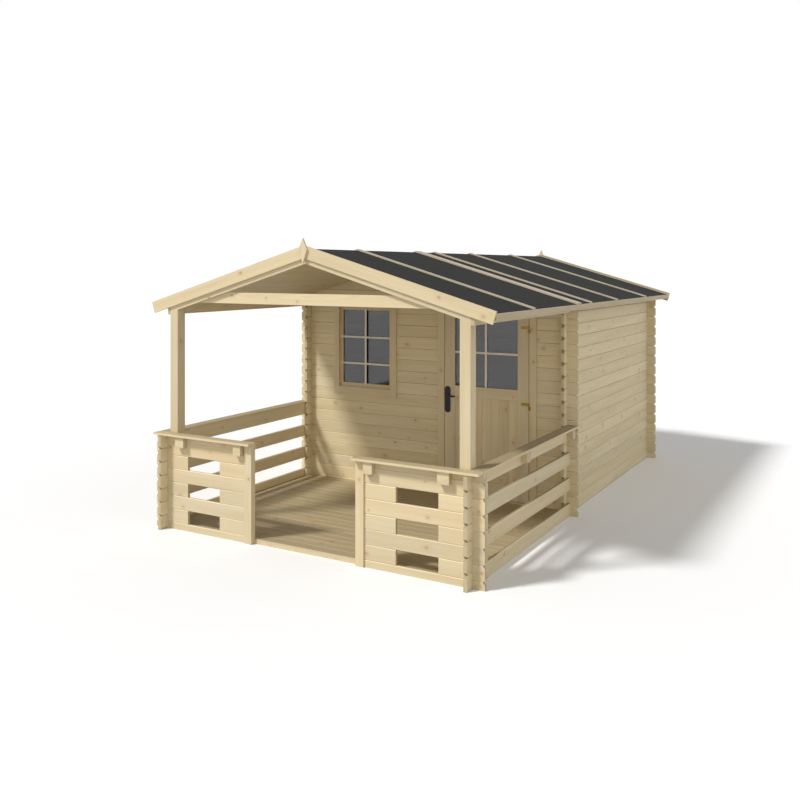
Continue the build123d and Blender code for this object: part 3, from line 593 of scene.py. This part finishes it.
def roof_boarding(side, sign, number):
    """Boards along the ridge under the felt of one slope, their lower edges cut to a V at each joint."""
    node = "roof_boards_" + side
    low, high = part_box(node)
    reach = high.x if sign > 0 else -low.x
    length = reach / math.cos(ROOF_SLOPE)
    count = round(length / ROOF_BOARD)
    cover = length / count
    thick, chamfer, gap = ROOF_BOARD_THICK, ROOF_BOARD_CHAMFER, ROOF_BOARD_GAP
    shift = thick * math.tan(ROOF_SLOPE)
    # Under the ridge, at the centre line
    ridge = Vector((0.0, 0.0, high.z - thick / math.cos(ROOF_SLOPE)))
    down = Vector((math.cos(ROOF_SLOPE) * sign, 0.0, -math.sin(ROOF_SLOPE)))
    up = Vector((math.sin(ROOF_SLOPE) * sign, 0.0, math.cos(ROOF_SLOPE)))
    bm = bmesh.new()
    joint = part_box("front_wall_left")[0].y - ROOF_JOINT
    for y0, y1 in ((low.y, joint - ROOF_JOINT_GAP), (joint + ROOF_JOINT_GAP, high.y)):
        for i in range(count):
            a, b = i * cover, (i + 1) * cover
            # Section of one board: lengths down the slope and out of it
            lower_face = [(a + chamfer, 0.0)]
            eave_edge = [(b - chamfer, 0.0), (b - gap, chamfer), (b - gap, thick)]
            ridge_edge = [(a + gap, thick), (a + gap, chamfer)]
            if i == 0:
                lower_face = [(0.0, 0.0)]
                ridge_edge = [(-shift, thick)]
            if i == count - 1:
                eave_edge = [(b, 0.0), (b - shift, thick)]
            section = [ridge + down * s + up * h for s, h in lower_face + eave_edge + ridge_edge]
            near, far = ([bm.verts.new(p + Vector((0, y, 0))) for p in section] for y in (y0, y1))
            bm.faces.new(near)
            bm.faces.new(list(reversed(far)))
            for k in range(len(section)):
                m = (k + 1) % len(section)
                bm.faces.new((near[m], near[k], far[k], far[m]))
    origin = tuple(ridge + up * thick / 2)
    material = pine("roofing_" + side, "Y", "X", origin, (number, 8.0, 1.0), cover, knots=0.3,
                    turn=-sign * ROOF_SLOPE, light=SHADED_LIGHT, dark=SHADED_DARK)
    piece = new_piece("roof_boarding_" + side, bm, "shed", material)
    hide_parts(node)


def make_pieces():
    """The window's bars lie ahead of its glass, the door's bars on both sides of its glass."""
    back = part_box("window_glass")[0].y - GRILLE_AHEAD
    layers = ((back - GRILLE_DEPTH, back),)
    glazing_bars("window_bars", "window_glass", "shed", layers, SASH_SIDE, WINDOW_BARS, 50.0)
    low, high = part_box("door_glass")
    layers = ((low.y - BAR_DEPTH, low.y), (high.y, high.y + BAR_DEPTH))
    glazing_bars("door_bars", "door_glass", "door", layers, 0.0, (middle("door_glass").z,), 51.0)
    roof_boarding("left", -1, 52.0)
    roof_boarding("right", 1, 53.0)


# Surroundings
def seen_directly(t):
    """1 for camera, mirror and glass rays."""
    path = t.node("LightPath").outputs
    total = t.plus(path["Is Camera Ray"], path["Is Glossy Ray"])
    return t.plus(total, path["Is Transmission Ray"], clamp=True)


def light():
    """The sun, and a sky that is brighter near the horizon than overhead, and white where it is seen."""
    sun = bpy.data.lights.new("sun", "SUN")
    sun.energy = SUN_STRENGTH
    sun.angle = SUN_ANGLE
    sun.color = SUN_COLOUR
    lamp = bpy.data.objects.new("sun", sun)
    lamp.rotation_euler = SUN_TRAVEL.to_track_quat("-Z", "Y").to_euler()
    bpy.context.scene.collection.objects.link(lamp)
    world = bpy.data.worlds.new("sky")
    bpy.context.scene.world = world
    world.use_nodes = True
    world.node_tree.nodes.clear()
    t = Tree(world.node_tree)
    direction = t.separate(t.node("TexCoord").outputs["Generated"])
    height = t.math("MAXIMUM", direction["Z"], 0.0)
    sky = t.scaled(height, SKY_OVERHEAD - SKY_LEVEL, SKY_LEVEL)
    sky = t.times(sky, t.scaled(direction["X"], SKY_SIDE, 1.0))
    seen = seen_directly(t)
    strength = t.plus(t.times(sky, t.minus(1.0, seen)), seen)
    colour = t.blend(seen, rgba(SKY_COLOUR), rgba(WHITE))
    background = t.node("Background", None, {"Color": colour, "Strength": strength})
    t.node("OutputWorld", None, {"Surface": background.outputs[0]})


def ground():
    """White ground that takes the shadow."""
    mesh = bpy.data.meshes.new("ground")
    corners = [(x * GROUND_HALF, y * GROUND_HALF, 0) for x, y in ((-1, -1), (1, -1), (1, 1), (-1, 1))]
    mesh.from_pydata(corners, [], [(0, 1, 2, 3)])
    plane = bpy.data.objects.new("ground", mesh)
    bpy.context.scene.collection.objects.link(plane)
    material = bpy.data.materials.new("pale_ground")
    material.use_nodes = True
    material.node_tree.nodes.clear()
    t = Tree(material.node_tree)
    colour = t.blend(seen_directly(t), rgba(GROUND_BOUNCE), rgba(GROUND_SEEN))
    shader = t.node("BsdfDiffuse", None, {"Color": colour})
    t.node("OutputMaterial", None, {"Surface": shader.outputs[0]})
    assign(plane, material)


def camera():
    """View of the photo."""
    data = bpy.data.cameras.new("camera")
    data.lens = CAMERA_LENS
    data.sensor_width = CAMERA_SENSOR
    data.shift_x, data.shift_y = CAMERA_SHIFT
    eye = bpy.data.objects.new("camera", data)
    eye.location = CAMERA_PLACE
    eye.rotation_euler = [math.radians(angle) for angle in CAMERA_TURN]
    bpy.context.scene.collection.objects.link(eye)
    bpy.context.scene.camera = eye


dress_logs()
dress_boards()
dress_floors()
dress_others()
make_pieces()
light()
ground()
camera()
bpy.context.scene.view_settings.view_transform = "Standard"
